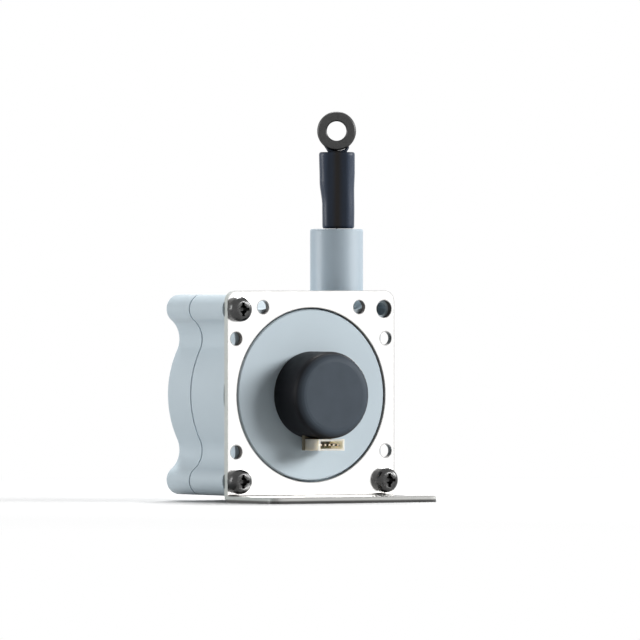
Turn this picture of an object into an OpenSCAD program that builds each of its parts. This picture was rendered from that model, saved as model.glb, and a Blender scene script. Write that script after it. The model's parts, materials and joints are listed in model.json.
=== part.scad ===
// Draw wire encoder. A sprung drum winds a measuring wire; an encoder on the drum's shaft reads the turns.
// The pieces are drawn about the encoder's axis: x to the right, y back from the bracket's front face
// and z up. place() then moves them so that the origin lies under the foot, between its two holes.

/* [Bracket] */
// Distance from a corner screw to the side edge of the plate
plate_side_margin = 3.1; // [2.8:0.1:8]
// Distance from a corner screw to the top edge of the plate
plate_top_margin = 4.7; // [3.5:0.1:10]
// Thickness of the stainless sheet
sheet_t = 1.6; // [1.2:0.1:2.2]
// Reach of the foot in front of the plate
foot_len = 22; // [18:1:40]
// Radius of the outer corners of the plate and the foot
bracket_corner_r = 2.8; // [1:0.1:4]
// Inside radius of the bend
bend_r = 1; // [0.5:0.1:2]
// Diameter of the four corner holes
corner_hole_d = 4.5; // [3.6:0.1:4.6]
// Diameter of the small fixing holes along the plate's edges
edge_hole_d = 3.5; // [2.5:0.1:3.8]
// Distance between the two small holes along one edge
edge_hole_pitch = 28.8; // [28:0.1:32]
// Distance from the middle of a small hole to the plate's nearest side edge
edge_hole_margin = 2.6; // [2.4:0.1:2.8]
// Distance between the two holes in the foot
foot_hole_pitch = 36; // [28:1:40]
// Distance from the plate's front face to the foot holes
foot_hole_setback = 12; // [8:0.5:15]

/* [Housing] */
// Radius of the round body
body_r = 25.2; // [24:0.1:31]
// Distance between the corner screws
screw_pitch = 43.8; // [40:0.2:53]
// Radius of the corner lobes
lobe_r = 3.7; // [3.4:0.1:5]
// Radius of the scallops between the lobes and the body
scallop_r = 6; // [4:0.5:8]
// Depth of the front housing, from the bracket to the seam
front_depth = 16.2; // [16:0.2:24]
// Depth of the rear cover, behind the seam
rear_depth = 12; // [9:0.2:16]
// Thickness of the outer wall
wall_t = 2.2; // [1.6:0.1:2.8]
// Thickness of the wall that carries the encoder
front_wall_t = 3.7; // [2.7:0.1:4.7]
// Thickness of the back wall
back_wall_t = 2; // [1.8:0.1:3.5]
// Diameter of the pilot boss that centres the bracket
pilot_d = 43.6; // [38:0.2:46]
// Gap between the pilot boss and the bracket, all round
pilot_gap = 0.5; // [0.2:0.1:0.9]
// Height of the pilot boss
pilot_h = 1.5; // [1.1:0.1:1.8]
// Depth of the relief groove round the pilot boss
relief_depth = 1.2; // [0.4:0.1:1.4]
// Rounding of the back edge
edge_r = 1; // [0.4:0.1:1.4]
// Depth of the groove along the seam
seam_groove = 0.3; // [0.1:0.05:0.5]
// Width of the ledge that the divider plate lies on
ledge_w = 1.2; // [0.8:0.1:2]

/* [Drum and wire] */
// Diameter of the coated measuring wire
wire_d = 0.5; // [0.3:0.05:0.8]
// Distance between two turns of the wire
wire_pitch = 0.52; // [0.5:0.01:0.7]
// Travel of the wire's end
stroke = 1000; // [300:50:1200]
// Radius that the wire is wound on
drum_core_r = 14.05; // [12:0.05:14.5]
// Height of the drum's flanges over its core
flange_h = 2.35; // [1:0.05:2.5]
// Thickness of the drum's flanges
flange_t = 1; // [0.8:0.1:1.2]
// Thickness of the drum's rim under the wire
rim_t = 2.45; // [1.5:0.05:3]
// Gap between the front wall and the drum
drum_gap = 2.6; // [2:0.1:3]
// Radius of the drum's hub
hub_r = 5.4; // [5:0.1:7]
// Thickness of the wall around the drum that keeps the wire on it
guard_t = 1.4; // [1:0.1:2]

/* [Wire outlet] */
// Diameter of the outlet tube
guide_d = 13.6; // [11:0.2:13.6]
// Height of the outlet tube above the housing
guide_h = 16.8; // [10:0.2:30]
// Diameter of the tube's spigot in the housing
spigot_d = 8.8; // [6:0.2:9]
// Length of the spigot
spigot_len = 4; // [3:0.5:4]
// Bore of the ceramic bushing that the wire runs through
bushing_bore_d = 1.2; // [1:0.1:1.6]

/* [Wire end] */
// Width of the black sleeve at its foot, in the plane of the eyelet
sleeve_w = 8; // [7:0.1:10]
// Thickness of the black sleeve
sleeve_t = 6.6; // [5.5:0.1:8]
// Length of the black sleeve
sleeve_len = 19.6; // [16:0.2:30]
// Width of the sleeve's neck where it meets the eyelet
neck_w = 6; // [4:0.1:7]
// Thickness of the sleeve's neck
neck_t = 2.4; // [1.6:0.1:4]
// Height of the neck above the sleeve
neck_h = 1.5; // [1:0.1:2]
// Outer diameter of the eyelet
eyelet_d = 10; // [9:0.1:14]
// Hole in the eyelet
eyelet_hole_d = 5; // [4:0.1:7]
// Thickness of the eyelet along its hole
eyelet_t = 3.2; // [2.4:0.1:5]
// Turn of the eyelet about the wire, in degrees
eyelet_turn = -32; // [-90:1:90]

/* [Encoder] */
// Diameter of the encoder
can_d = 22.2; // [20:0.2:26]
// Height of the encoder above the pilot boss
can_h = 11.6; // [10.3:0.1:17.3]
// Height of the encoder's base flange
base_h = 2.1; // [1.6:0.1:2.5]
// Rounding of the cap's front edge
cap_r = 2.6; // [0.5:0.1:3]
// Wall of the cap
cap_wall = 1; // [0.7:0.1:1.4]
// Diameter of the threaded bushing
bushing_d = 9.4; // [9:0.1:9.6]
// Diameter of the encoder's shaft
shaft_d = 6; // [5:0.1:6.4]
// Width of the connector
connector_w = 7.7; // [6:0.1:9]
// Height of the connector
connector_h = 2.9; // [2.2:0.1:3.4]
// Length of the connector
connector_len = 6.6; // [4:0.1:7]

/* [Fasteners] */
// Diameter of the bracket screws' heads
head_d = 6.4; // [5.4:0.1:7.2]
// Height of the bracket screws' heads
head_h = 2.7; // [2:0.1:3]
// Diameter of the bracket screws' shanks
bracket_shank_d = 3.2; // [2.5:0.1:3.4]
// Length of the bracket screws
bracket_screw_len = 9.5; // [8:0.5:10]
// Diameter of the cover screws' heads
cover_head_d = 5.2; // [4.4:0.1:5.4]
// Diameter of the cover screws' shanks
cover_shank_d = 2.5; // [2:0.1:2.8]

/* [Hidden] */

$fn = 64;
eps = 0.01;             // overlap that joins or cuts cleanly
fit = 0.05;             // gap round a screw or a pressed-in piece
running_fit = 0.03;     // radial gap of a shaft in its bush
thin_gap = 0.2;         // gap between pieces that lie on each other loosely

// Depths, counted back from the bracket's front face
face_y = sheet_t;                           // front face of the housing, against the bracket
boss_y = face_y - pilot_h;                  // face of the pilot boss, which carries the encoder
chamber_y = boss_y + front_wall_t;          // inside of the front wall
seam_y = face_y + front_depth;              // seam between the housing and its cover
back_y = seam_y + rear_depth;               // back of the cover
cavity_y = back_y - back_wall_t;            // inside of the back wall
drum_y = chamber_y + drum_gap;              // front of the drum
turns = ceil(stroke / (2 * PI * (drum_core_r + wire_d / 2))) + 1;
winding_w = turns * wire_pitch;
drum_w = winding_w + 2 * flange_t;
winding_y = drum_y + drum_w / 2;            // middle of the winding, where the wire leaves
tongue_h = 0.4;                             // tongue of the cover, which holds the divider down
divider_t = 1;
divider_y = seam_y - tongue_h - divider_t;

// Radii and reaches
wire_r = drum_core_r + wire_d / 2;          // radius at which the wire leaves the drum
flange_r = drum_core_r + flange_h;
guard_r = flange_r + 0.6;
seat_r = body_r - wall_t;
chamber_r = seat_r - ledge_w;
screw_off = screw_pitch / 2;
body_reach = max(screw_off + lobe_r, body_r);
axis_z = body_reach + sheet_t;              // the housing's underside is level with the foot's top
plate_w = screw_pitch + 2 * plate_side_margin;
plate_top = screw_off + plate_top_margin;
pilot_hole_d = pilot_d + 2 * pilot_gap;
bend_in_r = min(bend_r, lobe_r - head_d / 2 - fit);   // the lower screw heads stay clear of the bend

// Outlet and wire end, counted up from the axis
guide_top = body_reach + guide_h;
sleeve_z = guide_top + 0.1;
sleeve_top = sleeve_z + sleeve_len;
eyelet_z = sleeve_top + eyelet_d / 2 + 0.4;
crimp_z = sleeve_z + 3;
crimp_top = sleeve_top - 1.2;
crimp_w = 4.4;
crimp_t = 2.8;
groove_depth = 0.7;                         // groove of the eyelet, which the wire loop lies in
loop_r = eyelet_d / 2 - groove_depth + wire_d / 2 + fit;
leg_x = 1.2;                                // offset of the loop's legs where they enter the crimp
leg_end = crimp_top + fit + wire_d / 4;     // the legs lean, so their lower ends stay clear of the crimp

// Encoder, counted back from the bracket's front face
can_r = can_d / 2;
can_y = boss_y - can_h;                     // front of the cap
base_y = boss_y - base_h;                   // seam between the cap and the base
board_t = 1.2;
board_y = base_y - board_t;
bushing_r = bushing_d / 2;
shaft_r = shaft_d / 2;
washer_t = 0.6;
nut_t = 2.2;
nut_y = chamber_y + washer_t;
bushing_end = nut_y + nut_t + 0.5;
disc_y = board_y - 2.9;                     // front face of the code disc
connector_y = board_y - connector_len;
connector_z = -can_r - 0.1 - connector_h;
hub_y = bushing_end + 1.2;                  // front of the drum's hub
hub_end = drum_y + drum_w + 0.4;
shaft_end = hub_end - 2.6;

// Spring chamber
spring_gap = 0.8;
spring_y = seam_y + spring_gap;
arbor_r = 5;
bush_len = 2.2;
bush_r = 4;
journal_r = 2.5;
bush_y = cavity_y - 1.3;                    // face of the boss that holds the rear bush
spring_w = bush_y - 0.4 - spring_y;         // the strip's width clears that boss
spring_cavity_r = seat_r - ledge_w;
strip_t = 0.3;                              // thickness of the drawn strip
coil_pitch = 0.72;                          // distance between two coils
coils = 8;                                  // coils that lie against the cavity's wall
lead_turns = 0.75;                          // part of a turn that crosses from the coils to the arbor
coil_out_r = spring_cavity_r - 1.1;
coil_in_r = coil_out_r - coils * coil_pitch;
hook_r = arbor_r + 0.5;                     // radius at which the strip reaches the arbor
outer_hook = 0.8;                           // reach of the outer hook into the wall
inner_hook = 1;                             // reach of the inner hook into the arbor
arbor_turn = 180 - 360 * (coils + lead_turns);

// ---------------------------------------------------------------- helpers

// From the encoder's axis at the bracket's front face to the middle of the foot's holes
module place() translate([0, foot_hole_setback, axis_z]) children();

// A sketch seen from the front, x right and y up, made solid between two depths
module between(y0, y1) translate([0, y1, 0]) rotate([90, 0, 0]) linear_extrude(y1 - y0) children();

// A profile of [radius, depth] points turned about the encoder's axis
module turned(points) rotate([-90, 0, 0]) rotate_extrude() polygon(points);

// A rod along the encoder's axis
module rod(r, y0, y1) translate([0, y0, 0]) rotate([-90, 0, 0]) cylinder(r = r, h = y1 - y0);

// A copy at each corner screw, and one at each corner named in a list
module at_corners(corners = [[1, 1], [-1, 1], [-1, -1], [1, -1]])
    for (c = corners) translate([c.x * screw_off, 0, c.y * screw_off]) children();

// The wire's own line, where it leaves the drum
module on_wire_line() translate([wire_r, winding_y, 0]) children();

// Points of an arc, from one angle to another in a number of steps
function arc(centre, r, from, to, steps) =
    [for (i = [0:steps]) let (a = from + (to - from) * i / steps) centre + r * [cos(a), sin(a)]];

// A rectangle with round ends, centred, with the long side along x
function stadium(w, t, steps = 10) = concat(
    arc([(w - t) / 2, 0], t / 2, -90, 90, steps),
    arc([-(w - t) / 2, 0], t / 2, 90, 270, steps)
);

// A solid skin over rings of points that lie one behind the other, each with as many points
module skin(rings) {
    n = len(rings[0]);
    last = len(rings) - 1;
    sides = [
        for (k = [0:last - 1]) for (i = [0:n - 1])
            let (j = (i + 1) % n) [k * n + i, k * n + j, (k + 1) * n + j, (k + 1) * n + i]
    ];
    near_end = [for (i = [0:n - 1]) n - 1 - i];
    far_end = [for (i = [0:n - 1]) last * n + i];
    polyhedron([for (r = rings) each r], concat(sides, [near_end, far_end]), convexity = 6);
}

// ---------------------------------------------------------------- housing outline

// Centre of a scallop, whose arc runs on smoothly into the round body and into a corner lobe
lobe_off = screw_off * sqrt(2);
scallop_off = body_r + scallop_r;
scallop_dir = 45 - acos(
    (pow(lobe_off, 2) + pow(scallop_off, 2) - pow(lobe_r + scallop_r, 2)) / (2 * lobe_off * scallop_off)
);
scallop_at = scallop_off * [cos(scallop_dir), sin(scallop_dir)];
scallop_bite = 0.005;   // the arcs cross by this much where they meet

// The profile of an edge rounded from radius r at depth y - e to radius r - e at depth y
function rounded_edge(r, y, e) = arc([r - e, y - e], e, 0, 90, 4);

// A rod along the encoder's axis with its back edge rounded
module rounded_rod(r, y0, y1, e)
    turned(concat([[0, y0], [r, y0]], e > 0 ? rounded_edge(r, y1, e) : [[r, y1]], [[0, y1]]));

// Cutter for a scallop between two depths, which flares where the back edge is rounded
module scallop_cutter(r, y0, y1, e) turned(concat(
    [[0, y0 - 1], [r, y0 - 1]],
    e > 0 ? [for (p = rounded_edge(r, y1, e)) [2 * r - p.x, p.y]] : [],
    [[r + e, y1 + 1], [0, y1 + 1]]
));

// A block of the housing's outline between two depths, drawn in by inset, with its back edge rounded by e
module block(y0, y1, inset = 0, e = 0) difference() {
    union() {
        rounded_rod(body_r - inset, y0, y1, e);
        at_corners() rounded_rod(lobe_r - inset, y0, y1, e);
        for (a = [0:90:270]) rotate([0, a, 0]) between(y0, y1)
            polygon([[0, 0], scallop_at, [screw_off, screw_off], [scallop_at.y, scallop_at.x]]);
    }
    for (a = [0:90:270], s = [scallop_at, [scallop_at.y, scallop_at.x]]) rotate([0, a, 0])
        translate([s.x, 0, s.y]) scallop_cutter(scallop_r + inset + scallop_bite, y0, y1, e);
}

// ---------------------------------------------------------------- screws

// A cross recess that narrows with depth, sunk from the top of a head
module cross_recess(top, size, depth) {
    translate([0, 0, top - depth]) {
        for (a = [0, 90]) rotate([0, 0, a])
            translate([-size / 2, -size / 9, 0]) cube([size, size / 4.5, depth + 1]);
        cylinder(d1 = size * 0.3, d2 = size * 0.62, h = depth + eps);
    }
}

// A pan-head screw with its head's underside at z = 0 and its shank below
module pan_screw(d, h, shank_d, length) {
    edge = h * 0.42;
    dome = arc([0, 0], 1, 0, 90, 6);
    difference() {
        union() {
            rotate_extrude() polygon(concat(
                [[0, 0], [d / 2, 0]],
                [for (p = dome) [d / 2 * 0.5 * (1 + p.x), edge + (h - edge) * p.y]],
                [[0, h]]
            ));
            translate([0, 0, -length + 1]) cylinder(d = shank_d, h = length - 1 + eps);
            translate([0, 0, -length]) cylinder(d1 = shank_d * 0.5, d2 = shank_d, h = 1);
        }
        cross_recess(h, d * 0.56, h * 0.6);
    }
}

// ---------------------------------------------------------------- bracket

// The bent sheet seen from the side, x as depth and y as height
module bracket_section() {
    foot_under = -axis_z;
    outer_r = bend_in_r + sheet_t;
    centre = [-bend_in_r, foot_under + outer_r];
    polygon(concat(
        [[-foot_len, foot_under]],
        arc(centre, outer_r, -90, 0, 8),
        [[sheet_t, plate_top], [0, plate_top]],
        arc(centre, bend_in_r, 0, -90, 8),
        [[-foot_len, foot_under + sheet_t]]
    ));
}

// A plate outline with two round corners at its upper end, and square ones at y = low
function round_topped(w, low, high, r) = concat(
    [[-w / 2, low], [w / 2, low]],
    arc([w / 2 - r, high - r], r, 0, 90, 8),
    arc([-w / 2 + r, high - r], r, 90, 180, 8)
);

module mounting_bracket() color("gainsboro") {
    edge = plate_w / 2 - edge_hole_margin;
    top_row = screw_off + 0.5;
    difference() {
        intersection() {
            rotate([90, 0, 90]) translate([0, 0, -plate_w / 2]) linear_extrude(plate_w) bracket_section();
            between(-foot_len - 1, sheet_t + 1)
                polygon(round_topped(plate_w, -axis_z - 1, plate_top, bracket_corner_r));
            translate([0, 0, -axis_z - 1]) linear_extrude(axis_z + plate_top + 2) mirror([0, 1])
                polygon(round_topped(plate_w, -sheet_t - 1, foot_len, bracket_corner_r));
        }
        rod(pilot_hole_d / 2, -1, sheet_t + 1, $fn = 96);
        at_corners() rod(corner_hole_d / 2, -1, sheet_t + 1);
        for (x = [-edge, edge], z = [-edge_hole_pitch / 2, edge_hole_pitch / 2])
            translate([x, 0, z]) rod(edge_hole_d / 2, -1, sheet_t + 1);
        for (x = [-edge_hole_pitch / 2, edge_hole_pitch / 2])
            translate([x, 0, top_row]) rod(edge_hole_d / 2, -1, sheet_t + 1);
        for (x = [-foot_hole_pitch / 2, foot_hole_pitch / 2])
            translate([x, -foot_hole_setback, -axis_z - 1]) cylinder(d = corner_hole_d, h = sheet_t + 2);
    }
}

// Three of the four corners hold a screw; the upper right one is left empty
module bracket_screws() color("silver")
    at_corners([[-1, 1], [-1, -1], [1, -1]])
        rotate([90, 0, 0]) pan_screw(head_d, head_h, bracket_shank_d, bracket_screw_len);

// ---------------------------------------------------------------- housing

// Bore in a lobe for the bracket screw, open to the front
module bracket_screw_bores() at_corners()
    rod(bracket_shank_d / 2 + fit, -1, bracket_screw_len + 0.6);

// Boss on the top of the housing that the outlet tube stands in
module outlet_boss() on_wire_line() cylinder(d = guide_d, h = body_reach);

module front_housing() color("lightsteelblue") {
    ribs = 8;
    cover_screw_tip = bracket_screw_len + 1.8;
    difference() {
        union() {
            difference() {
                union() {
                    block(face_y, seam_y - seam_groove);
                    block(seam_y - seam_groove - eps, seam_y, inset = seam_groove);
                    outlet_boss();
                    turned([[0, boss_y], [pilot_d / 2 - 0.3, boss_y], [pilot_d / 2, boss_y + 0.3],
                            [pilot_d / 2, face_y + 1], [0, face_y + 1]]);
                }
                rod(chamber_r, chamber_y, seam_y + 1, $fn = 96);
            }
            difference() {
                union() {
                    rod(guard_r + guard_t, chamber_y - eps, divider_y - thin_gap);
                    for (i = [0:ribs - 1]) rotate([0, 360 / ribs * (i + 0.5), 0])
                        translate([guard_r + 0.5, chamber_y - eps, -guard_t / 2])
                            cube([chamber_r - guard_r, divider_y - chamber_y - 1, guard_t]);
                }
                rod(guard_r, chamber_y - 1, seam_y);
            }
        }
        rod(seat_r, divider_y, seam_y + 1, $fn = 96);
        turned([[pilot_d / 2, face_y - 1], [pilot_d / 2 + pilot_gap, face_y - 1],
                [pilot_d / 2 + pilot_gap, face_y + relief_depth - 0.2],
                [pilot_d / 2 + pilot_gap - 0.2, face_y + relief_depth],
                [pilot_d / 2, face_y + relief_depth]]);
        rod(bushing_r + fit, boss_y - 1, chamber_y + 1);
        translate([0, 0, can_r - 2]) rod(1 + fit, boss_y - 1, boss_y + 1.8);
        bracket_screw_bores();
        at_corners() rod(cover_shank_d / 2 + fit, cover_screw_tip, seam_y + 1);
        on_wire_line() {
            translate([0, 0, body_reach - spigot_len - thin_gap])
                cylinder(d = spigot_d + 2 * fit, h = spigot_len + 1);
            cylinder(r = 1.4, h = body_reach);
        }
    }
}

module rear_cover() color("lightsteelblue") {
    difference() {
        union() {
            block(seam_y, seam_y + seam_groove + eps, inset = seam_groove);
            block(seam_y + seam_groove, back_y, e = edge_r);
            turned([[seat_r - fit, seam_y + 1], [seat_r - fit, seam_y - tongue_h],
                    [spring_cavity_r - 0.5, seam_y - tongue_h], [spring_cavity_r - 0.5, seam_y + 1]]);
        }
        turned([[0, seam_y - 1], [spring_cavity_r, seam_y - 1], [spring_cavity_r, cavity_y],
                [bush_r + 2.4, cavity_y], [bush_r + 2, bush_y], [0, bush_y]]);
        rod(bush_r + fit, bush_y - 1, bush_y + bush_len);
        at_corners() {
            rod(cover_shank_d / 2 + thin_gap, seam_y - 1, back_y + 1);
            rod(cover_head_d / 2 + thin_gap, back_y - 3, back_y + 1);
        }
        // Notch for the spring's outer hook
        translate([-spring_cavity_r - outer_hook - 0.3, spring_y - 0.4, -0.3])
            cube([outer_hook + 1, cavity_y - spring_y + 0.4, strip_t + 0.6]);
    }
}

module cover_screws() color("silver") {
    seat = back_y - 3;
    at_corners() translate([0, seat, 0]) rotate([-90, 0, 0])
        pan_screw(cover_head_d, 2, cover_shank_d, seat - bracket_screw_len - 2.4);
}

module divider_plate() color("white") difference() {
    rod(seat_r - thin_gap, divider_y, divider_y + divider_t);
    rod(arbor_r + 0.6, divider_y - 1, seam_y);
    for (a = [0:60:300]) rotate([0, a, 0]) translate([12, 0, 0]) rod(1.5, divider_y - 1, seam_y);
}

// ---------------------------------------------------------------- wire outlet

module cable_guide() color("lightsteelblue") on_wire_line() {
    r = guide_d / 2;
    spigot = spigot_d / 2;
    rotate_extrude() polygon([
        [1.4, body_reach - spigot_len], [spigot - 0.4, body_reach - spigot_len],
        [spigot, body_reach - spigot_len + 0.4], [spigot, body_reach], [r, body_reach],
        [r, guide_top - 0.5], [r - 0.15, guide_top - 0.15], [r - 0.5, guide_top],
        [3.2, guide_top], [3.2, guide_top - 4], [1.4, guide_top - 4]
    ]);
}

// A ring whose bore flares to both ends, so that the wire bends softly
module guide_bushing() color("ivory") on_wire_line() {
    h = 3.9;
    flare = 1.5;
    bore = bushing_bore_d / 2;
    translate([0, 0, guide_top - h - fit]) rotate_extrude() polygon(concat(
        [[3.2 - fit, 0], [3.2 - fit, h]],
        arc([bore + flare, h - flare], flare, 90, 180, 6),
        arc([bore + flare, flare], flare, 180, 270, 6)
    ));
}

// ---------------------------------------------------------------- encoder

module encoder_base() color("dimgray") {
    difference() {
        union() {
            rod(can_r, base_y, boss_y);
            rod(bushing_r, boss_y - eps, bushing_end);
            translate([0, 0, can_r - 2]) rod(1, boss_y - eps, boss_y + 1.5);
        }
        rod(bushing_r - 0.8, base_y + 0.8, bushing_end + 1);
        rod(shaft_r + 0.3, base_y - 1, boss_y);
    }
}

module encoder_cap() color("dimgray") {
    difference() {
        turned(concat(
            [[can_r - cap_wall, base_y], [can_r, base_y]],
            [for (p = arc([0, 0], cap_r, 0, -90, 6)) [can_r - cap_r + p.x, can_y + cap_r + p.y]],
            [[0, can_y], [0, can_y + cap_wall], [can_r - cap_wall - 1, can_y + cap_wall],
             [can_r - cap_wall, can_y + cap_wall + 1]]
        ));
        translate([-connector_w / 2 - 0.4, board_y - thin_gap, -can_r - 1])
            cube([connector_w + 0.8, board_t + 1, 3]);
    }
}

// Round board with a tab that carries the connector below the cap
module encoder_board() color("darkgreen") difference() {
    union() {
        rod(can_r - cap_wall - thin_gap, board_y, base_y);
        translate([-connector_w / 2 - 0.2, board_y, connector_z])
            cube([connector_w + 0.4, board_t, -connector_z]);
    }
    rod(shaft_r + 1.2, board_y - 1, base_y + 1);
}

// Forked reader whose slot takes the edge of the code disc
module optical_reader() color("black") {
    far = disc_y - 1.4;
    difference() {
        translate([-2.6, far, 5.6]) cube([5.2, board_y - far, 4]);
        translate([-3, disc_y - 0.5, 5]) cube([6, 1.5, 3.4]);
    }
}

module encoder_connector() color("ivory") difference() {
    wall = 0.5;
    translate([-connector_w / 2, connector_y, connector_z]) cube([connector_w, connector_len, connector_h]);
    translate([-connector_w / 2 + wall, connector_y - 1, connector_z + wall])
        cube([connector_w - 2 * wall, connector_len, connector_h - 2 * wall]);
    // Windows for the plug's latches
    for (x = [-2.2, 2.2])
        translate([x - 0.5, connector_y + 1.2, connector_z - 1]) cube([1, 1.6, 1 + wall + eps]);
}

module connector_pins() color("gold") {
    pins = 5;
    pitch = 1.25;
    side = 0.5;
    for (i = [0:pins - 1])
        translate([(i - (pins - 1) / 2) * pitch - side / 2, connector_y + 1,
                   connector_z + (connector_h - side) / 2])
            cube([side, connector_len - 2 - fit, side]);
}

module shaft_bush() color("peru") difference() {
    rod(bushing_r - 0.8 - running_fit, base_y + 0.8 + fit, bushing_end);
    rod(shaft_r + running_fit, base_y, bushing_end + 1);
}

// Washer with a ring of teeth that bite the nut
module lock_washer() color("silver") difference() {
    rod(7, chamber_y, chamber_y + washer_t);
    rod(bushing_r + 0.5, chamber_y - 1, chamber_y + 2);
    for (a = [0:30:330]) rotate([0, a, 0])
        translate([bushing_r - 0.4, chamber_y - 1, -0.35]) cube([1.7, 3, 0.7]);
}

module mounting_nut() color("silver") difference() {
    rod(7.2, nut_y, nut_y + nut_t, $fn = 6);
    rod(bushing_r + fit, nut_y - 1, nut_y + nut_t + 1);
}

// ---------------------------------------------------------------- drum and shaft

module drum() color("whitesmoke") {
    web_y = hub_end - 3.3;
    rim_in = drum_core_r - rim_t;
    far = drum_y + drum_w;
    difference() {
        turned([
            [rim_in, drum_y], [flange_r, drum_y], [flange_r, drum_y + flange_t * 0.6],
            [drum_core_r, drum_y + flange_t], [drum_core_r, far - flange_t],
            [flange_r, far - flange_t * 0.6], [flange_r, far], [rim_in, far],
            [rim_in, web_y + 1.5], [hub_r, web_y + 1.5], [hub_r, hub_end],
            [shaft_r + running_fit, hub_end], [shaft_r + running_fit, hub_y], [hub_r, hub_y],
            [hub_r, web_y], [rim_in, web_y]
        ]);
        for (a = [0:60:300]) rotate([0, a + 30, 0])
            translate([(hub_r + rim_in) / 2, 0, 0]) rod(1.9, web_y - 1, web_y + 3);
        hub_screw_places(0.05);
        // Hole that leads the wire through the rim to its anchor
        rotate([0, 200, 0]) translate([rim_in - 1, drum_y + flange_t + wire_pitch, 0])
            rotate([0, 90, 0]) cylinder(d = wire_d + 0.2, h = rim_t + 2, $fn = 24);
    }
}

// The two set screws stand radially in the hub
module hub_screw_places(gap) for (a = [0, 90]) rotate([0, a, 0])
    translate([shaft_r + running_fit + (gap > 0 ? -0.5 : fit), hub_y + 1.6, 0])
        rotate([0, 90, 0]) cylinder(r = 1 + gap, h = hub_r - shaft_r + (gap > 0 ? 2 : -0.3));

module hub_set_screws() color("dimgray") hub_screw_places(0);

// The wound wire as one coil, with a groove between each turn and the next
module wire_winding() color("lightgray") {
    first = drum_y + flange_t;
    crest = wire_d / 4;
    inside = drum_core_r + eps;
    outside = drum_core_r + wire_d;
    turned(concat(
        [[inside, first + eps]],
        [for (i = [0:turns - 1]) let (middle = first + (i + 0.5) * wire_pitch) each [
            [wire_r, middle - wire_pitch / 2 + (i == 0 ? eps : 0)],
            [outside, middle - crest], [outside, middle + crest]
        ]],
        [[wire_r, first + winding_w - eps], [inside, first + winding_w - eps]]
    ));
}

module wire_anchor() color("goldenrod") rotate([0, 200, 0])
    translate([drum_core_r - rim_t - 2.1, drum_y + flange_t + wire_pitch, 0])
        rotate([0, 90, 0]) cylinder(r = 0.9, h = 2, $fn = 24);

module encoder_shaft() color("silver") rod(shaft_r, disc_y - 1.6, shaft_end);

// Disc with a ring of windows for the light beam
module code_disc() color("darkslategray") {
    windows = 24;
    difference() {
        rod(7.9, disc_y, disc_y + 0.5);
        rod(shaft_r + fit, disc_y - 1, disc_y + 1);
        for (i = [0:windows - 1]) rotate([0, 360 / windows * i, 0])
            translate([6.2, disc_y - 1, -0.35]) cube([1.1, 3, 0.7]);
    }
}

module disc_hub() color("goldenrod") difference() {
    union() {
        rod(4.6, disc_y - 1, disc_y - fit);
        rod(4, disc_y - 1.6, disc_y - 0.9);
    }
    rod(shaft_r + fit, disc_y - 3, disc_y + 1);
}

// Arbor that the spring's inner end is hooked to; its journal turns in the rear bush
module spring_arbor() color("silver") difference() {
    turned([
        [0, shaft_end + thin_gap], [shaft_r, shaft_end + thin_gap], [shaft_r, hub_end], [arbor_r, hub_end],
        [arbor_r, bush_y - thin_gap], [journal_r, bush_y - thin_gap],
        [journal_r, bush_y + bush_len - 0.3], [0, bush_y + bush_len - 0.3]
    ]);
    rotate([0, -arbor_turn, 0]) translate([arbor_r - inner_hook - 0.4, spring_y - 0.5, -0.25])
        cube([3, spring_w + 1, strip_t + 0.5]);
}

module rear_bush() color("peru") difference() {
    rod(bush_r, bush_y, bush_y + bush_len);
    rod(journal_r + running_fit, bush_y - 1, bush_y + bush_len + 1);
}

// ---------------------------------------------------------------- spring

// Radius of the strip after a number of turns, counted inwards from its outer end
function strip_r(t) = t < coils
    ? coil_out_r - coil_pitch * t
    : coil_in_r - (coil_in_r - hook_r) * (1 - cos(180 * (t - coils) / lead_turns)) / 2;

// A flat coil whose outer end hooks into the cover's wall and whose inner end hooks into the arbor
module power_spring() color("slategray") {
    steps = 24;
    half = strip_t / 2;
    last = (coils + lead_turns) * steps;
    line = [for (i = [0:last]) let (t = i / steps) [strip_r(t), 180 - 360 * t]];
    outer = [for (i = [1:last]) (line[i][0] + half) * [cos(line[i][1]), sin(line[i][1])]];
    inner = [for (i = [last - 1:-1:1]) (line[i][0] - half) * [cos(line[i][1]), sin(line[i][1])]];
    wall_tip = -spring_cavity_r - outer_hook;
    arbor_tip = (arbor_r - inner_hook) * [cos(arbor_turn), sin(arbor_turn)];
    across = strip_t * [-sin(arbor_turn), cos(arbor_turn)];
    bend = (hook_r - half) * [cos(arbor_turn), sin(arbor_turn)] + across;
    between(spring_y, spring_y + spring_w) polygon(concat(
        [[wall_tip, 0], [wall_tip, strip_t], [-coil_out_r - half, strip_t]], outer,
        [arbor_tip, arbor_tip + across, bend], inner, [[-coil_out_r + half, 0]]
    ));
}

// ---------------------------------------------------------------- wire end

// The straight run, from just above where it leaves the drum to the crimp
module measuring_wire() color("lightgray") {
    start = 1.35 * sqrt(pow(wire_r + wire_d / 2, 2) - pow(wire_r - wire_d / 2, 2));
    on_wire_line() translate([0, 0, start]) cylinder(d = wire_d, h = crimp_z - start, $fn = 24);
}

module turned_with_eyelet() on_wire_line() rotate([0, 0, eyelet_turn]) children();

// A sketch in the eyelet's plane, x across and y up, made solid by a thickness
module upright(t) translate([0, t / 2, 0]) rotate([90, 0, 0]) linear_extrude(t) children();

module crimp_sleeve() color("darkgoldenrod") turned_with_eyelet() translate([0, 0, crimp_z])
    linear_extrude(crimp_top - crimp_z) polygon(stadium(crimp_w, crimp_t));

// Angle on each side of straight down at which a leg of the loop leaves the eyelet
function leg_split(drop) = atan(leg_x / drop) + acos(loop_r / norm([leg_x, drop]));

// Sketch of the room that both legs take, a little wider than the wire
function leg_slot() = let (
    split = leg_split(eyelet_z - leg_end),
    side = loop_r * sin(split) + wire_d,
    high = eyelet_z - loop_r * cos(split),
    low = leg_end - wire_d
) [[-leg_x - wire_d, low], [leg_x + wire_d, low], [side, high], [-side, high]];

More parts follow.
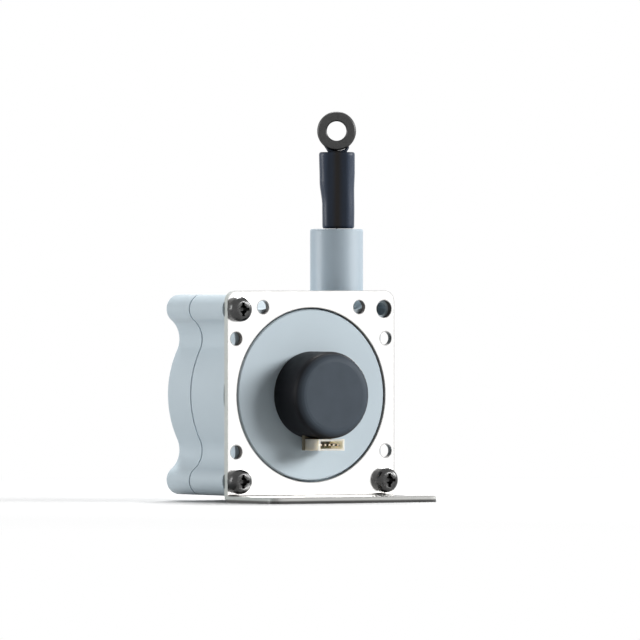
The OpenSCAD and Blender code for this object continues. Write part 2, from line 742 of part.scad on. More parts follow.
// Rings of a stadium outline, one for each [height, width, thickness, shift along x]
function stadium_rings(levels) =
    [for (l = levels) [for (p = stadium(l[1], l[2])) [p.x + l[3], -p.y, l[0]]]];

module end_sleeve() color("black") turned_with_eyelet() difference() {
    w = sleeve_w;
    t = sleeve_t;
    roof = 0.7;
    neck_root = neck_w * 0.76;
    union() {
        skin(stadium_rings([
            [sleeve_z, w - 0.5, t - 0.5, 0.5], [sleeve_z + 0.3, w, t, 0.5],
            [sleeve_z + sleeve_len * 0.3, w, t, 0.35], [sleeve_z + sleeve_len * 0.6, w + 0.1, t, 0.1],
            [sleeve_top - 2, w + 0.8, t + 0.2, 0.15], [sleeve_top - 0.3, w + 0.8, t + 0.2, 0.2],
            [sleeve_top, w + 0.3, t - 0.3, 0.2]
        ]));
        // Neck that spreads towards the eyelet, round the legs of the wire's loop
        upright(neck_t) polygon([
            [-neck_root / 2, sleeve_top - roof / 2], [neck_root / 2, sleeve_top - roof / 2],
            [neck_w / 2, sleeve_top + neck_h], [-neck_w / 2, sleeve_top + neck_h]
        ]);
    }
    translate([0, 0, crimp_z - thin_gap]) linear_extrude(sleeve_top - roof - crimp_z + thin_gap)
        polygon(stadium(crimp_w + 2 * thin_gap, crimp_t + 2 * thin_gap));
    translate([0, 0, sleeve_z - 1]) cylinder(r = 0.8, h = 6, $fn = 24);
    upright(wire_d + 2 * thin_gap) polygon(leg_slot());
    upright(eyelet_t * 2) translate([0, eyelet_z]) circle(r = eyelet_d / 2 + thin_gap);
}

// Ring with a round groove for the wire
module eyelet() color("gray") turned_with_eyelet() translate([0, 0, eyelet_z]) rotate([90, 0, 0]) {
    r_out = eyelet_d / 2;
    r_in = eyelet_hole_d / 2;
    half = eyelet_t / 2;
    edge = 0.6;
    groove = wire_d / 2 + 0.1;
    rotate_extrude() polygon(concat(
        [[r_in, -half + edge / 2], [r_in + edge / 2, -half], [r_out - edge, -half]],
        arc([r_out - edge, -half + edge], edge, -90, 0, 4),
        [[r_out, -groove], [r_out - groove_depth, -groove * 0.6]],
        [[r_out - groove_depth, groove * 0.6], [r_out, groove]],
        arc([r_out - edge, half - edge], edge, 0, 90, 4),
        [[r_in + edge / 2, half], [r_in, half - edge / 2]]
    ));
}

// The wire goes round the eyelet in its groove, and both ends run straight down to the crimp
module wire_loop() color("lightgray") {
    drop = eyelet_z - leg_end;
    split = leg_split(drop);
    path = concat([[-leg_x, -drop]], arc([0, 0], loop_r, 270 - split, split - 90, 28), [[leg_x, -drop]]);
    last = len(path) - 1;
    rings = [
        for (i = [0:last]) let (
            run = path[min(i + 1, last)] - path[max(i - 1, 0)],
            side = [run.y, -run.x] / norm(run)
        ) [for (a = [0:45:315]) let (in_plane = wire_d / 2 * cos(a) * side)
            [path[i].x + in_plane.x, wire_d / 2 * sin(a), path[i].y + in_plane.y]]
    ];
    turned_with_eyelet() translate([0, 0, eyelet_z]) skin(rings);
}

// ---------------------------------------------------------------- nodes

place() mounting_bracket();
place() bracket_screws();
place() front_housing();
place() rear_cover();
place() cover_screws();
place() divider_plate();
place() cable_guide();
place() guide_bushing();
place() encoder_base();
place() encoder_cap();
place() encoder_board();
place() optical_reader();
place() encoder_connector();
place() connector_pins();
place() shaft_bush();
place() lock_washer();
place() mounting_nut();
place() rear_bush();
place() power_spring();
place() drum();
place() wire_winding();
place() wire_anchor();
place() encoder_shaft();
place() code_disc();
place() disc_hub();
place() hub_set_screws();
place() spring_arbor();
place() measuring_wire();
place() crimp_sleeve();
place() end_sleeve();
place() eyelet();
place() wire_loop();
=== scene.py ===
"""Looks for the draw wire encoder. Every size is in metres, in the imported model's frame."""
import json
import math
from types import SimpleNamespace

import bmesh
import bpy
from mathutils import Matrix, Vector


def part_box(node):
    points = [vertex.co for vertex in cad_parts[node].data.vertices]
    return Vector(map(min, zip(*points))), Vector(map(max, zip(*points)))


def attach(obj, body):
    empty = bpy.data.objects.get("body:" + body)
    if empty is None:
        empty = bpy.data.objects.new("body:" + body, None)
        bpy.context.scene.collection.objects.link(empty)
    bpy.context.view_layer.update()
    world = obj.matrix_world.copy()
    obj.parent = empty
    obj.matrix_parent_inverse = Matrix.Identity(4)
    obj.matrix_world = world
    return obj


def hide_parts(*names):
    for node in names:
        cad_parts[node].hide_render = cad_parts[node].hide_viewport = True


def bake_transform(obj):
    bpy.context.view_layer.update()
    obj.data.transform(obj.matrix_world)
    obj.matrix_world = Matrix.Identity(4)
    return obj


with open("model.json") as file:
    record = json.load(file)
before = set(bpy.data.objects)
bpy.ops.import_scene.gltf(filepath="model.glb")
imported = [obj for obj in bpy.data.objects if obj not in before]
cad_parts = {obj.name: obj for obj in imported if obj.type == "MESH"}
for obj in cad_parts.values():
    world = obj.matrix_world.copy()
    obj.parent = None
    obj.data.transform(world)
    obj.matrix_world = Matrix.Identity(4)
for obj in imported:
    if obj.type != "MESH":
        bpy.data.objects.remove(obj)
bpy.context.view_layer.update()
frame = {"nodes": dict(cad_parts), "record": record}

MM = 0.001
UP = Vector((0, 0, 1))
WHITE = (1, 1, 1, 1)

# Sizes repeated from the CAD model
SHEET = 1.6 * MM              # thickness of the bracket
SLEEVE_LENGTH = 19.6 * MM     # up to its shoulder, above which the neck stands
EYELET_GAP = 0.4 * MM         # from the shoulder to the eyelet
EYELET_R = 5 * MM
EYELET_TURN = math.radians(-32)
ACROSS = Vector((math.cos(EYELET_TURN), math.sin(EYELET_TURN), 0))    # in the eyelet's plane
THROUGH = Vector((-math.sin(EYELET_TURN), math.cos(EYELET_TURN), 0))  # along the eyelet's hole


# ---------------------------------------------------------------- node trees

class Nodes:
    """The node tree of a material or world, with short calls for the nodes that it is made of"""

    def __init__(self, owner):
        owner.use_nodes = True
        self.tree = owner.node_tree
        self.tree.nodes.clear()

    def node(self, kind):
        return self.tree.nodes.new("ShaderNode" + kind)

    def link(self, source, socket):
        self.tree.links.new(source, socket)

    def feed(self, sockets, values):
        """Give each socket its value, or link it to the socket that stands for its value"""
        for socket, value in zip(sockets, values):
            if isinstance(value, bpy.types.NodeSocket):
                self.link(value, socket)
            else:
                socket.default_value = value

    def math(self, operation, *numbers):
        step = self.node("Math")
        step.operation = operation
        self.feed(step.inputs, numbers)
        return step.outputs[0]

    def measure(self, operation, *vectors):
        """One number from one or two vectors"""
        step = self.node("VectorMath")
        step.operation = operation
        self.feed(step.inputs, vectors)
        return step.outputs["Value"]

    def parts(self, vector):
        """The x, y and z of a vector"""
        split = self.node("SeparateXYZ")
        self.link(vector, split.inputs[0])
        return SimpleNamespace(x=split.outputs["X"], y=split.outputs["Y"], z=split.outputs["Z"])

    def magnitude(self, number):
        return self.math("ABSOLUTE", number)

    def minus(self, first, second):
        return self.math("SUBTRACT", first, second)

    def above(self, number, limit):
        return self.math("GREATER_THAN", number, limit)

    def below(self, number, limit):
        return self.math("LESS_THAN", number, limit)

    def both(self, first, second):
        return self.math("MULTIPLY", first, second)

    def either(self, first, second):
        return self.math("MAXIMUM", first, second)

    def nearest(self, first, second):
        return self.math("MINIMUM", first, second)

    def opposite(self, share):
        return self.math("SUBTRACT", 1.0, share)

    def ramp(self, value, low, high, interpolation="LINEAR"):
        """0 up to low, 1 from high, and shares between; low may be the larger one"""
        span = self.node("MapRange")
        span.interpolation_type = interpolation
        span.inputs["From Min"].default_value = low
        span.inputs["From Max"].default_value = high
        self.link(value, span.inputs["Value"])
        return span.outputs[0]

    def between(self, value, from_colour, to_colour):
        """A mix of two colours by value"""
        mix = self.node("Mix")
        mix.data_type = "RGBA"
        self.feed((mix.inputs[0], mix.inputs[6], mix.inputs[7]), (value, from_colour, to_colour))
        return mix.outputs[2]

    def mixed(self, value, from_shader, to_shader):
        """A mix of two shaders by value"""
        mix = self.node("MixShader")
        self.feed(mix.inputs, (value, from_shader.outputs[0], to_shader.outputs[0]))
        return mix.outputs[0]

    def seen_rays(self):
        """1 for rays from the camera and for those that a mirror or glass in its view sends on"""
        path = self.node("LightPath")
        sent_on = self.either(path.outputs["Is Glossy Ray"], path.outputs["Is Transmission Ray"])
        before_matt = self.below(path.outputs["Diffuse Depth"], 0.5)
        return self.both(self.either(path.outputs["Is Camera Ray"], sent_on), before_matt)


class Finish(Nodes):
    """A procedural material of one shader, which follows the object's own coordinates"""

    def __init__(self, name, roughness, metallic=0.0, specular=0.5, coat=0.0):
        self.material = bpy.data.materials.new(name)
        super().__init__(self.material)
        out = self.node("OutputMaterial")
        self.shader = self.node("BsdfPrincipled")
        self.link(self.shader.outputs[0], out.inputs["Surface"])
        self.shader.inputs["Roughness"].default_value = roughness
        self.shader.inputs["Metallic"].default_value = metallic
        self.shader.inputs["Specular IOR Level"].default_value = specular
        self.shader.inputs["Coat Weight"].default_value = coat
        self.place = self.node("TexCoord").outputs["Object"]

    def stretched(self, scale):
        """The object's own coordinates, times a scale along each axis"""
        mapping = self.node("Mapping")
        mapping.inputs["Scale"].default_value = scale
        self.link(self.place, mapping.inputs["Vector"])
        return mapping.outputs[0]

    def noise(self, size, detail=3.0, place=None):
        """Noise whose blotches are about that many metres across"""
        noise = self.node("TexNoise")
        noise.inputs["Scale"].default_value = 1 / size
        noise.inputs["Detail"].default_value = detail
        self.link(place or self.place, noise.inputs["Vector"])
        return noise.outputs["Fac"]

    def edges(self, radius):
        """0 on flat surfaces, and above 0 within that radius of an edge"""
        bevel = self.node("Bevel")
        bevel.samples = 4
        bevel.inputs["Radius"].default_value = radius
        normal = self.node("NewGeometry").outputs["Normal"]
        return self.opposite(self.measure("DOT_PRODUCT", bevel.outputs[0], normal))

    def colour(self, value):
        self.base = value
        self.link(value, self.shader.inputs["Base Color"])

    def rough(self, value, low, high):
        """Roughness from low where value is 0 to high where it is 1"""
        span = self.node("MapRange")
        span.inputs["To Min"].default_value = low
        span.inputs["To Max"].default_value = high
        self.link(value, span.inputs["Value"])
        self.link(span.outputs[0], self.shader.inputs["Roughness"])

    def bump(self, value, depth, strength=1.0):
        """Bumps that deep in metres"""
        bump = self.node("Bump")
        bump.inputs["Distance"].default_value = depth
        bump.inputs["Strength"].default_value = strength
        self.link(value, bump.inputs["Height"])
        self.link(bump.outputs[0], self.shader.inputs["Normal"])


def linear(r, g, b):
    """A display colour from 0 to 255 as the shader's own value"""
    def one(c):
        c /= 255
        return c / 12.92 if c <= 0.04045 else ((c + 0.055) / 1.055) ** 2.4
    return (one(r), one(g), one(b), 1)


def grey(level):
    return (level, level, level, 1)


def scaled(colour, factor, lift=0.0):
    """A colour made that much lighter or darker"""
    return tuple(min(1, c * factor + lift) for c in colour[:3]) + (1,)


# ---------------------------------------------------------------- camera

VIEW_AZIMUTH = math.radians(-31.8)
VIEW_ELEVATION = math.radians(0.27)
VIEW_DISTANCE = 2.8
VIEW_WIDTH = 163.3 * MM       # what the frame takes in at the object
AIM = Vector((2.6, 12.0, 46.3)) * MM
FORWARD = Vector((
    -math.sin(VIEW_AZIMUTH) * math.cos(VIEW_ELEVATION),
    math.cos(VIEW_AZIMUTH) * math.cos(VIEW_ELEVATION),
    -math.sin(VIEW_ELEVATION),
))
RIGHT = Vector((math.cos(VIEW_AZIMUTH), math.sin(VIEW_AZIMUTH), 0))


def add_camera():
    data = bpy.data.cameras.new("camera")
    data.sensor_width = 36
    data.lens = data.sensor_width * VIEW_DISTANCE / VIEW_WIDTH
    data.clip_start = 0.05
    data.clip_end = 200
    camera = bpy.data.objects.new("camera", data)
    camera.location = AIM - FORWARD * VIEW_DISTANCE
    camera.rotation_euler = FORWARD.to_track_quat("-Z", "Y").to_euler()
    bpy.context.scene.collection.objects.link(camera)
    bpy.context.scene.camera = camera


# ---------------------------------------------------------------- light and floor

AMBIENT = 0.1                 # the world's level for the object
AMBIENT_COLOUR = (0.985, 0.995, 1, 1)
FLOOR_HALF = 60               # half its side, so that it ends far off at the horizon
FLOOR_WHITE = 0.68            # the floor as the camera sees it
FLOOR_BOUNCE = 0.36           # the floor as it lights the object from below
GLOW_FROM = 0.12              # the floor is matt up to here, and takes the shadow
GLOW_TO = 0.32                # from here it is as white as the world
LAMP_AIM = Vector((0, 12, 45)) * MM
LAMPS = (                     # name, way to it (right, forward, up), distance, (width, height), level
    # from the right, higher than what the plate mirrors to the camera
    ("key", (1, -0.15, 0.3), 1.8, (1.4, 0.5), 1.25),
    # from above and behind, so that the shadow on the floor falls towards the camera
    ("top", (0, 0.5, 0.85), 2.2, (0.9, 0.9), 1.25),
    # from the left, for the side of the housing
    ("left", (-1, -0.09, 0.1), 1.8, (0.9, 1.4), 1.02),
)


def add_world():
    """A dim even light on the object, before a white that only the camera and its mirrored rays see"""
    world = bpy.data.worlds.new("world")
    t = Nodes(world)
    soft = t.node("Background")
    soft.inputs["Color"].default_value = AMBIENT_COLOUR
    soft.inputs["Strength"].default_value = AMBIENT
    seen = t.node("Background")
    seen.inputs["Color"].default_value = WHITE
    seen.inputs["Strength"].default_value = 1
    t.link(t.mixed(t.seen_rays(), soft, seen), t.node("OutputWorld").inputs["Surface"])
    bpy.context.scene.world = world


def floor_paint():
    """Matt under the object, where it takes the shadow, and white further off"""
    paint = bpy.data.materials.new("floor")
    t = Nodes(paint)
    seen = t.seen_rays()
    matt = t.node("BsdfDiffuse")
    t.link(t.between(seen, grey(FLOOR_BOUNCE), grey(FLOOR_WHITE)), matt.inputs["Color"])
    distance = t.measure("LENGTH", t.node("TexCoord").outputs["Object"])
    glow = t.both(t.ramp(distance, GLOW_FROM, GLOW_TO, "SMOOTHSTEP"), seen)
    white = t.node("Emission")
    t.link(t.mixed(glow, matt, white), t.node("OutputMaterial").inputs["Surface"])
    return paint


def add_floor():
    mesh = bpy.data.meshes.new("floor")
    signs = ((-1, -1), (1, -1), (1, 1), (-1, 1))
    mesh.from_pydata([(x * FLOOR_HALF, y * FLOOR_HALF, 0) for x, y in signs], [], [(0, 1, 2, 3)])
    mesh.materials.append(floor_paint())
    floor = bpy.data.objects.new("floor", mesh)
    bpy.context.scene.collection.objects.link(floor)


def add_lamps():
    """Rectangular lamps, each of which gives a white surface facing it its level"""
    for name, (right, forward, up), distance, size, level in LAMPS:
        data = bpy.data.lights.new(name, "AREA")
        data.shape = "RECTANGLE"
        data.size, data.size_y = size
        data.energy = level * (math.pi * distance) ** 2
        lamp = bpy.data.objects.new(name, data)
        towards = (RIGHT * right + FORWARD * forward + UP * up).normalized()
        lamp.location = LAMP_AIM + towards * distance
        lamp.rotation_euler = towards.to_track_quat("Z", "Y").to_euler()
        bpy.context.scene.collection.objects.link(lamp)


# ---------------------------------------------------------------- materials

def moulded(name, colour, roughness, contrast=0.05, specular=0.4):
    """Moulded plastic: faint flow clouds, a fine texture and slightly paler edges"""
    cloud, mottle, grain = 14 * MM, 3 * MM, 0.25 * MM
    f = Finish(name, roughness, specular=specular)
    clouds = f.between(f.noise(cloud, 2), scaled(colour, 1 - contrast), scaled(colour, 1 + contrast))
    # paler within 0.3 mm of every edge and crease
    paler_edge = f.ramp(f.edges(0.3 * MM), 0.03, 0.35)
    f.colour(f.between(paler_edge, clouds, scaled(colour, 1.25, 0.01)))
    f.rough(f.noise(mottle), roughness - 0.06, roughness + 0.06)
    f.bump(f.noise(grain, 2), 0.02 * MM, 0.5)
    return f


def metal(name, colour, roughness, squeeze=(1, 1, 1), size=0.4 * MM, contrast=0.08, depth=0.004 * MM):
    """Bare metal with a fine grain, which squeeze can turn into lines across one axis"""
    mottle = 5 * MM
    f = Finish(name, roughness, metallic=1.0)
    grain = f.noise(size, 4, f.stretched(squeeze))
    f.colour(f.between(grain, scaled(colour, 1 - contrast), scaled(colour, 1 + contrast)))
    f.rough(f.noise(mottle), roughness * 0.85, roughness * 1.2)
    f.bump(grain, depth)
    return f


def can_finish():
    """The encoder's black plastic, whose flat face is painted a paler, matt grey: painted light, for the
    lamps' light on the face against the shaded side
    """
    f = Finish("encoder_black", 0.5, specular=0.09)
    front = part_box("encoder_cap")[0].y
    # painted light: the flat face is painted paler than the side
    face = f.ramp(f.parts(f.place).y, front + 1.3 * MM, front + 0.1 * MM)
    side = f.between(f.noise(9 * MM, 2), linear(15, 16, 20), linear(22, 23, 27))
    matt = f.between(f.noise(5 * MM, 3), linear(62, 70, 78), linear(74, 82, 91))
    f.colour(f.between(face, side, matt))
    f.rough(f.noise(2 * MM), 0.42, 0.56)
    f.bump(f.noise(0.18 * MM, 2), 0.02 * MM, 0.35)
    return f


def housing_finish():
    """The shells' plastic, painted paler in the groove along their seam: painted light in the groove's shade
    """
    f = moulded("housing_plastic", linear(183, 197, 205), 0.42)
    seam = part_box("front_housing")[1].y
    from_seam = f.magnitude(f.minus(f.parts(f.place).y, seam))
    # painted light: a paler colour in the seam's groove, where shade falls
    painted_seam_light = f.ramp(from_seam, 0.45 * MM, 0.3 * MM)
    f.colour(f.between(painted_seam_light, f.base, linear(198, 210, 217)))
    return f


def connector_finish():
    """Milky nylon, which lets some light through its thin walls"""
    f = moulded("connector_cream", linear(228, 218, 200), 0.4)
    f.shader.inputs["Subsurface Weight"].default_value = 0.9
    f.shader.inputs["Subsurface Scale"].default_value = 3 * MM
    f.shader.inputs["Subsurface Radius"].default_value = (1, 0.85, 0.65)
    return f


def sleeve_finish():
    """Shrunk tube: brown-black over the crimp, bluish beside it with a painted sheen, and a painted
    highlight along both sides
    """
    f = Finish("sleeve_black", 0.3, specular=0.22)
    low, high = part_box("end_sleeve")
    streaks = f.noise(1.4 * MM, 3, f.stretched((1, 1, 0.12)))
    middle = ACROSS.dot((low + high) / 2)
    from_middle = f.magnitude(f.minus(f.measure("DOT_PRODUCT", f.place, ACROSS), middle))
    core = f.between(streaks, linear(16, 13, 13), linear(26, 22, 21))
    # bluish: the tube's own tone with a painted sheen
    blue_and_sheen = f.between(streaks, linear(18, 27, 40), linear(30, 40, 55))
    # painted highlight along both sides
    painted_side_highlight = f.between(streaks, linear(38, 48, 64), linear(52, 63, 80))
    inner = f.between(f.ramp(from_middle, 0.3 * MM, 1.5 * MM), core, blue_and_sheen)
    f.colour(f.between(f.ramp(from_middle, 2.2 * MM, 3 * MM), inner, painted_side_highlight))
    f.rough(streaks, 0.24, 0.4)
    f.bump(streaks, 0.06 * MM, 0.3)
    return f


def bracket_zones(f):
    """The zones of the bracket's surface, each as a socket that gives 1 inside it and 0 outside"""
    low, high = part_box("mounting_bracket")
    cap_low, cap_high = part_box("encoder_cap")
    hole_centre = Vector((0, 0, (cap_low.z + cap_high.z) / 2))
    round_hole_limit = 23.5 * MM      # takes in the round hole's wall, and no smaller hole
    edge_on = 0.3                     # a cut edge's normal has less than this across the sheet
    plate_front = high.y - SHEET

    place = f.parts(f.place)
    normal = f.parts(f.node("NewGeometry").outputs["Normal"])
    facing = f.magnitude(normal.y)
    upward = f.magnitude(normal.z)
    plate = f.above(place.y, plate_front - 0.3 * MM)
    cut_plate = f.both(f.below(facing, edge_on), plate)
    cut_foot = f.both(f.below(upward, edge_on), f.opposite(plate))
    cut = f.either(cut_plate, cut_foot)

    from_side = f.minus(high.x, f.magnitude(place.x))
    from_top = f.minus(high.z, place.z)
    from_end = f.minus(place.y, low.y)
    from_outline = f.nearest(from_side, f.nearest(from_top, from_end))
    from_corner = f.nearest(f.math("ADD", from_side, from_top), f.math("ADD", from_side, from_end))
    from_hole = f.measure("DISTANCE", f.stretched((1, 0, 1)), hole_centre)    # with y left out

    flat = f.ramp(f.either(facing, upward), 0.8, 0.99)
    beyond_bend = f.either(f.above(place.z, SHEET + 1 * MM), f.below(place.y, plate_front - 1 * MM))
    at_edge = f.ramp(f.edges(0.55 * MM), 0.05, 0.2)
    return SimpleNamespace(
        cut=cut,
        inside=f.both(f.above(from_outline, 0.6 * MM), f.above(from_corner, 3 * MM)),
        round_hole=f.below(from_hole, round_hole_limit),
        flat=flat,
        # painted shade: a fine dark line round each face, darkest round the holes
        shaded_rim=f.both(at_edge, f.both(flat, beyond_bend)),
        # painted shade: the plate darker just above the fold, where it is also duller
        dull_shaded_bottom=f.both(plate, f.ramp(place.z, SHEET + 1.7 * MM, SHEET + 0.4 * MM)),
        # painted light: cut faces towards the front get a plain light grey, for the lamp on them
        painted_lit_front_end=f.below(normal.y, -0.7),
        # painted shadow: the cut faces are painted dark just above the floor
        painted_contact_shadow=f.both(cut, f.ramp(place.z, 0.9 * MM, 0.55 * MM)),
    )


def sheet_finish():
    """Bright rolled sheet with duller grey cut edges, and a fine painted dark line round each face; painted
    shade on the curved fold, low on the plate and in the small holes, painted light on the cut faces towards
    the front, and a painted contact shadow just above the floor
    """
    f = Finish("stainless_sheet", 0.22, metallic=1.0)
    zone = bracket_zones(f)
    rolled = f.noise(0.35 * MM, 4, f.stretched((0.1, 1, 1)))
    fine = f.noise(0.3 * MM, 3, f.stretched((1, 0.3, 1)))

    bright = f.between(rolled, linear(251, 250, 248), linear(255, 255, 254))
    # painted shade: the curved bend is darker than the flat faces
    painted_bend_shade = f.between(fine, linear(132, 130, 127), linear(158, 156, 152))
    # painted shade on the fold and, low on the plate, a painted darker grey
    face = f.between(zone.dull_shaded_bottom, f.between(zone.flat, painted_bend_shade, bright), linear(190, 188, 185))

    outline = f.between(fine, linear(172, 177, 174), linear(198, 203, 199))
    # painted light on the cut faces towards the front
    outline = f.between(zone.painted_lit_front_end, outline, linear(196, 196, 193))
    # painted shade: the small holes' walls are painted dark
    small_hole_shade = f.between(fine, linear(84, 80, 77), linear(112, 108, 104))
    round_hole = f.between(fine, linear(158, 154, 150), linear(180, 176, 172))
    cut = f.between(zone.inside, outline, f.between(zone.round_hole, small_hole_shade, round_hole))

    # painted shade along the edges of each face
    shaded_rim = f.between(zone.inside, linear(118, 114, 110), linear(80, 76, 73))
    sheet = f.between(zone.shaded_rim, f.between(zone.cut, face, cut), shaded_rim)
    # painted contact shadow along the floor
    f.colour(f.between(zone.painted_contact_shadow, sheet, linear(62, 62, 61)))
    f.link(f.opposite(zone.cut), f.shader.inputs["Metallic"])
    dulled = f.either(f.opposite(zone.flat), zone.dull_shaded_bottom)
    f.rough(f.either(f.math("MULTIPLY", rolled, 0.45), dulled), 0.08, 0.38)
    f.bump(rolled, 0.003 * MM)
    return f


def wire_finish():
    """Stranded wire under a thin clear coat, with its strands as slanting bands"""
    f = Finish("wire_steel", 0.4, metallic=1.0, coat=0.15)
    strands = f.node("TexWave")
    strands.wave_type = "BANDS"
    strands.bands_direction = "DIAGONAL"
    strands.inputs["Scale"].default_value = 900
    strands.inputs["Distortion"].default_value = 1.5
    f.link(f.place, strands.inputs["Vector"])
    f.colour(f.between(strands.outputs["Fac"], linear(50, 50, 53), linear(112, 112, 116)))
    f.bump(strands.outputs["Fac"], 0.05 * MM, 0.6)
    return f


def finishes():
    """Every finish, under the name of the record's material slot, and two under names of their own"""
    return {
        "pins": metal("pin_tin", linear(150, 140, 124), 0.45, size=0.2 * MM, contrast=0.2),
        "tube": moulded("outlet_tube", linear(162, 176, 186), 0.4, specular=0.6),
        "housing_plastic": housing_finish(),
        "stainless_sheet": sheet_finish(),
        "screw_steel": metal("screw_steel", linear(72, 72, 72), 0.22, contrast=0.35, size=1 * MM),
        "set_screw_steel": metal("set_screw_steel", linear(60, 60, 63), 0.4),
        "encoder_black": can_finish(),
        "sleeve_black": sleeve_finish(),
        "eyelet_steel": metal("eyelet_steel", linear(70, 70, 70), 0.4,
                              size=0.5 * MM, contrast=0.3, depth=0.02 * MM),
        "wire_steel": wire_finish(),
        "shaft_steel": metal("shaft_steel", linear(215, 215, 216), 0.2, squeeze=(1, 12, 1)),
        "spring_steel": metal("spring_steel", linear(105, 112, 128), 0.3),
        "brass": metal("brass", linear(222, 190, 120), 0.26),
        "bronze": metal("bronze", linear(190, 145, 95), 0.42, contrast=0.2, size=0.3 * MM),
        "ceramic": moulded("ceramic", linear(238, 234, 222), 0.2, contrast=0.02),
        "connector_cream": connector_finish(),
        "board_green": moulded("board_green", linear(132, 124, 104), 0.4, contrast=0.15),
        "reader_black": moulded("reader_black", linear(45, 45, 47), 0.45),
        "disc_steel": metal("disc_steel", linear(120, 126, 128), 0.25),
        "drum_plastic": moulded("drum_plastic", linear(236, 236, 232), 0.38, contrast=0.02),
    }


def paint_nodes(paints):
    """Every CAD node gets the finish of its slot, or its own where one is named"""
    own_paint = {"cable_guide": "tube", "connector_pins": "pins"}
    for part in frame["record"]["subparts"]:
        key = own_paint.get(part["node"], part["material_slot"])
        for slot in frame["nodes"][part["node"]].material_slots:
            slot.material = paints[key].material


# ---------------------------------------------------------------- pieces

SHARP = math.radians(40)      # from this angle between its faces an edge stays sharp


def add_piece(name, bm, paints, slot, stands_for):
    """A new piece from a bmesh, smooth except at sharp edges, that replaces a CAD node"""
    for face in bm.faces:
        face.smooth = True
    for edge in bm.edges:
        if len(edge.link_faces) == 2 and edge.calc_face_angle() > SHARP:
            edge.smooth = False
    mesh = bpy.data.meshes.new(name)
    bmesh.ops.recalc_face_normals(bm, faces=bm.faces)
    bm.to_mesh(mesh)
    bm.free()
    piece = bpy.data.objects.new(name, mesh)
    bpy.context.scene.collection.objects.link(piece)
    mesh.materials.append(paints[slot].material)
    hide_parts(stands_for)
    return piece


def loft(bm, rings):
    """A closed skin over rings of points, all with the same number of points"""
    loops = [[bm.verts.new(point) for point in ring] for ring in rings]
    count = len(loops[0])
    for below, above in zip(loops, loops[1:]):
        for i in range(count):
            j = (i + 1) % count
            bm.faces.new((below[i], below[j], above[j], above[i]))
    bm.faces.new(list(reversed(loops[0])))
    bm.faces.new(loops[-1])


def turns(sides):
    """The angles of a ring's points"""
    return [2 * math.pi * i / sides for i in range(sides)]


def squared(value, power):
    """A sine or cosine whose circle fills out towards a square, the more the smaller the power is"""
    return math.copysign(abs(value) ** power, value)


def eased(points, s):
    """The value at s of a smooth line through (s, value) pairs"""
    for (s0, v0), (s1, v1) in zip(points, points[1:]):
        if s <= s1:
            t = max(0, min(1, (s - s0) / (s1 - s0)))
            return v0 + (v1 - v0) * t * t * (3 - 2 * t)
    return points[-1][1]


def below_middle(low, high):
    """The point at height 0 under the middle of a box"""
    return Vector(((low.x + high.x) / 2, (low.y + high.y) / 2, 0))


def sleeve_rings(axis, bottom):
    """A flattened tube, wider at the top, with a furrow down the middle of each face

    Each table goes by height, from 0 at the foot to 1 at the top, and its lengths are in mm.
    """
    left = [(0, 3.85), (0.3, 3.9), (0.62, 4.55), (1, 4.7)]
    right = [(0, 4.35), (0.25, 4.4), (0.5, 4.35), (0.75, 4.5), (1, 4.5)]
    thick = [(0, 3.3), (0.4, 3.2), (0.7, 3.3), (1, 3.45)]
    furrow = [(0, 0), (0.35, 0.008), (0.65, 0.064), (1, 0.08)]    # as a share of the thickness
    furrow_width = 0.9
    unevenness = 0.012
    squareness = 0.76
    sides = 72
    steps = 40
    rounded_foot = [(0, 0.45), (0.006, 0.2), (0.015, 0.06)]       # how far the end is drawn in
    wall = [(0.03 + 0.94 * i / steps, 0) for i in range(steps + 1)]
    rounded_top = [(1 - s, inset) for s, inset in reversed(rounded_foot)]
    rings = []
    for s, inset in rounded_foot + wall + rounded_top:
        ring = []
        for turn in turns(sides):
            side = right if math.cos(turn) > 0 else left
            u = squared(math.cos(turn), squareness) * (eased(side, s) - inset)
            v = squared(math.sin(turn), squareness) * (eased(thick, s) - inset)
            v *= 1 - eased(furrow, s) * math.exp(-(u / furrow_width) ** 2)
            v *= 1 + unevenness * math.sin(9 * s + 2 * turn)
            z = bottom + s * SLEEVE_LENGTH
            ring.append(axis + ACROSS * (u * MM) + THROUGH * (v * MM) + UP * z)
        rings.append(ring)
    return rings


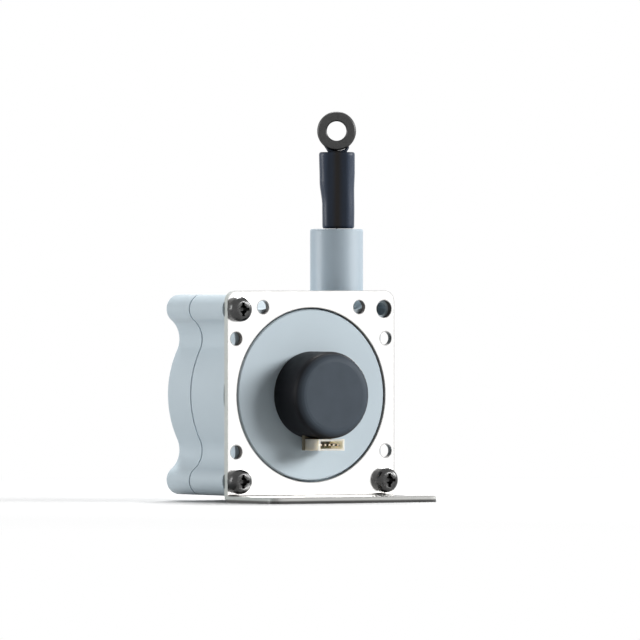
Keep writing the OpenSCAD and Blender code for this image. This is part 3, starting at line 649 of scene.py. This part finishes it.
def neck_rings(axis, shoulder):
    """The neck on the sleeve's shoulder, which hugs the eyelet from below and runs out thin on both sides"""
    eyelet_z = shoulder + EYELET_GAP + EYELET_R
    clear_r = EYELET_R + 0.01 * MM
    sunk = 0.35 * MM              # how far it starts below the shoulder
    flare_from = 2.2 * MM         # its foot rises further out than this
    flare_slope = 1.6
    least_height = 0.02 * MM
    half_width = 3 * MM
    half_depth = 1.15 * MM
    least_depth = 0.2             # as a share of the greatest
    squareness = 0.5
    sides = 16
    steps = 24
    rings = []
    for i in range(steps + 1):
        u = half_width * (2 * i / steps - 1)
        top = eyelet_z - math.sqrt(clear_r ** 2 - u * u)
        foot = shoulder - sunk + flare_slope * max(0, abs(u) - flare_from)
        foot = min(foot, top - least_height)
        depth = half_depth * max(least_depth, math.sqrt(1 - (u / half_width) ** 4))
        ring = []
        for turn in turns(sides):
            v = squared(math.cos(turn), squareness) * depth
            z = (foot + top) / 2 + squared(math.sin(turn), squareness) * (top - foot) / 2
            ring.append(axis + ACROSS * u + THROUGH * v + UP * z)
        rings.append(ring)
    return rings


def add_sleeve(paints):
    """The shrunk sleeve on the wire's end, with its neck"""
    low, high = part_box("end_sleeve")
    axis = below_middle(low, high)
    bm = bmesh.new()
    loft(bm, sleeve_rings(axis, low.z))
    loft(bm, neck_rings(axis, low.z + SLEEVE_LENGTH))
    piece = add_piece("shrunk_sleeve", bm, paints, "sleeve_black", "end_sleeve")
    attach(piece, "wire_end")


def add_wire(paints):
    """The straight wire, which runs off the drum up to the crimp"""
    low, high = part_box("measuring_wire")
    axis = below_middle(low, high)
    radius = (high.x - low.x) / 2
    sides = 16
    steps = 60
    rings = []
    for i in range(steps + 1):
        z = low.z + (high.z - low.z) * i / steps
        rings.append([axis + Vector((radius * math.cos(a), radius * math.sin(a), z)) for a in turns(sides)])
    bm = bmesh.new()
    loft(bm, rings)
    piece = add_piece("straight_wire", bm, paints, "wire_steel", "measuring_wire")
    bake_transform(piece)


# ---------------------------------------------------------------- all of it

bpy.context.scene.view_settings.view_transform = "Standard"
add_camera()
add_world()
add_floor()
add_lamps()
paints = finishes()
paint_nodes(paints)
add_sleeve(paints)
add_wire(paints)
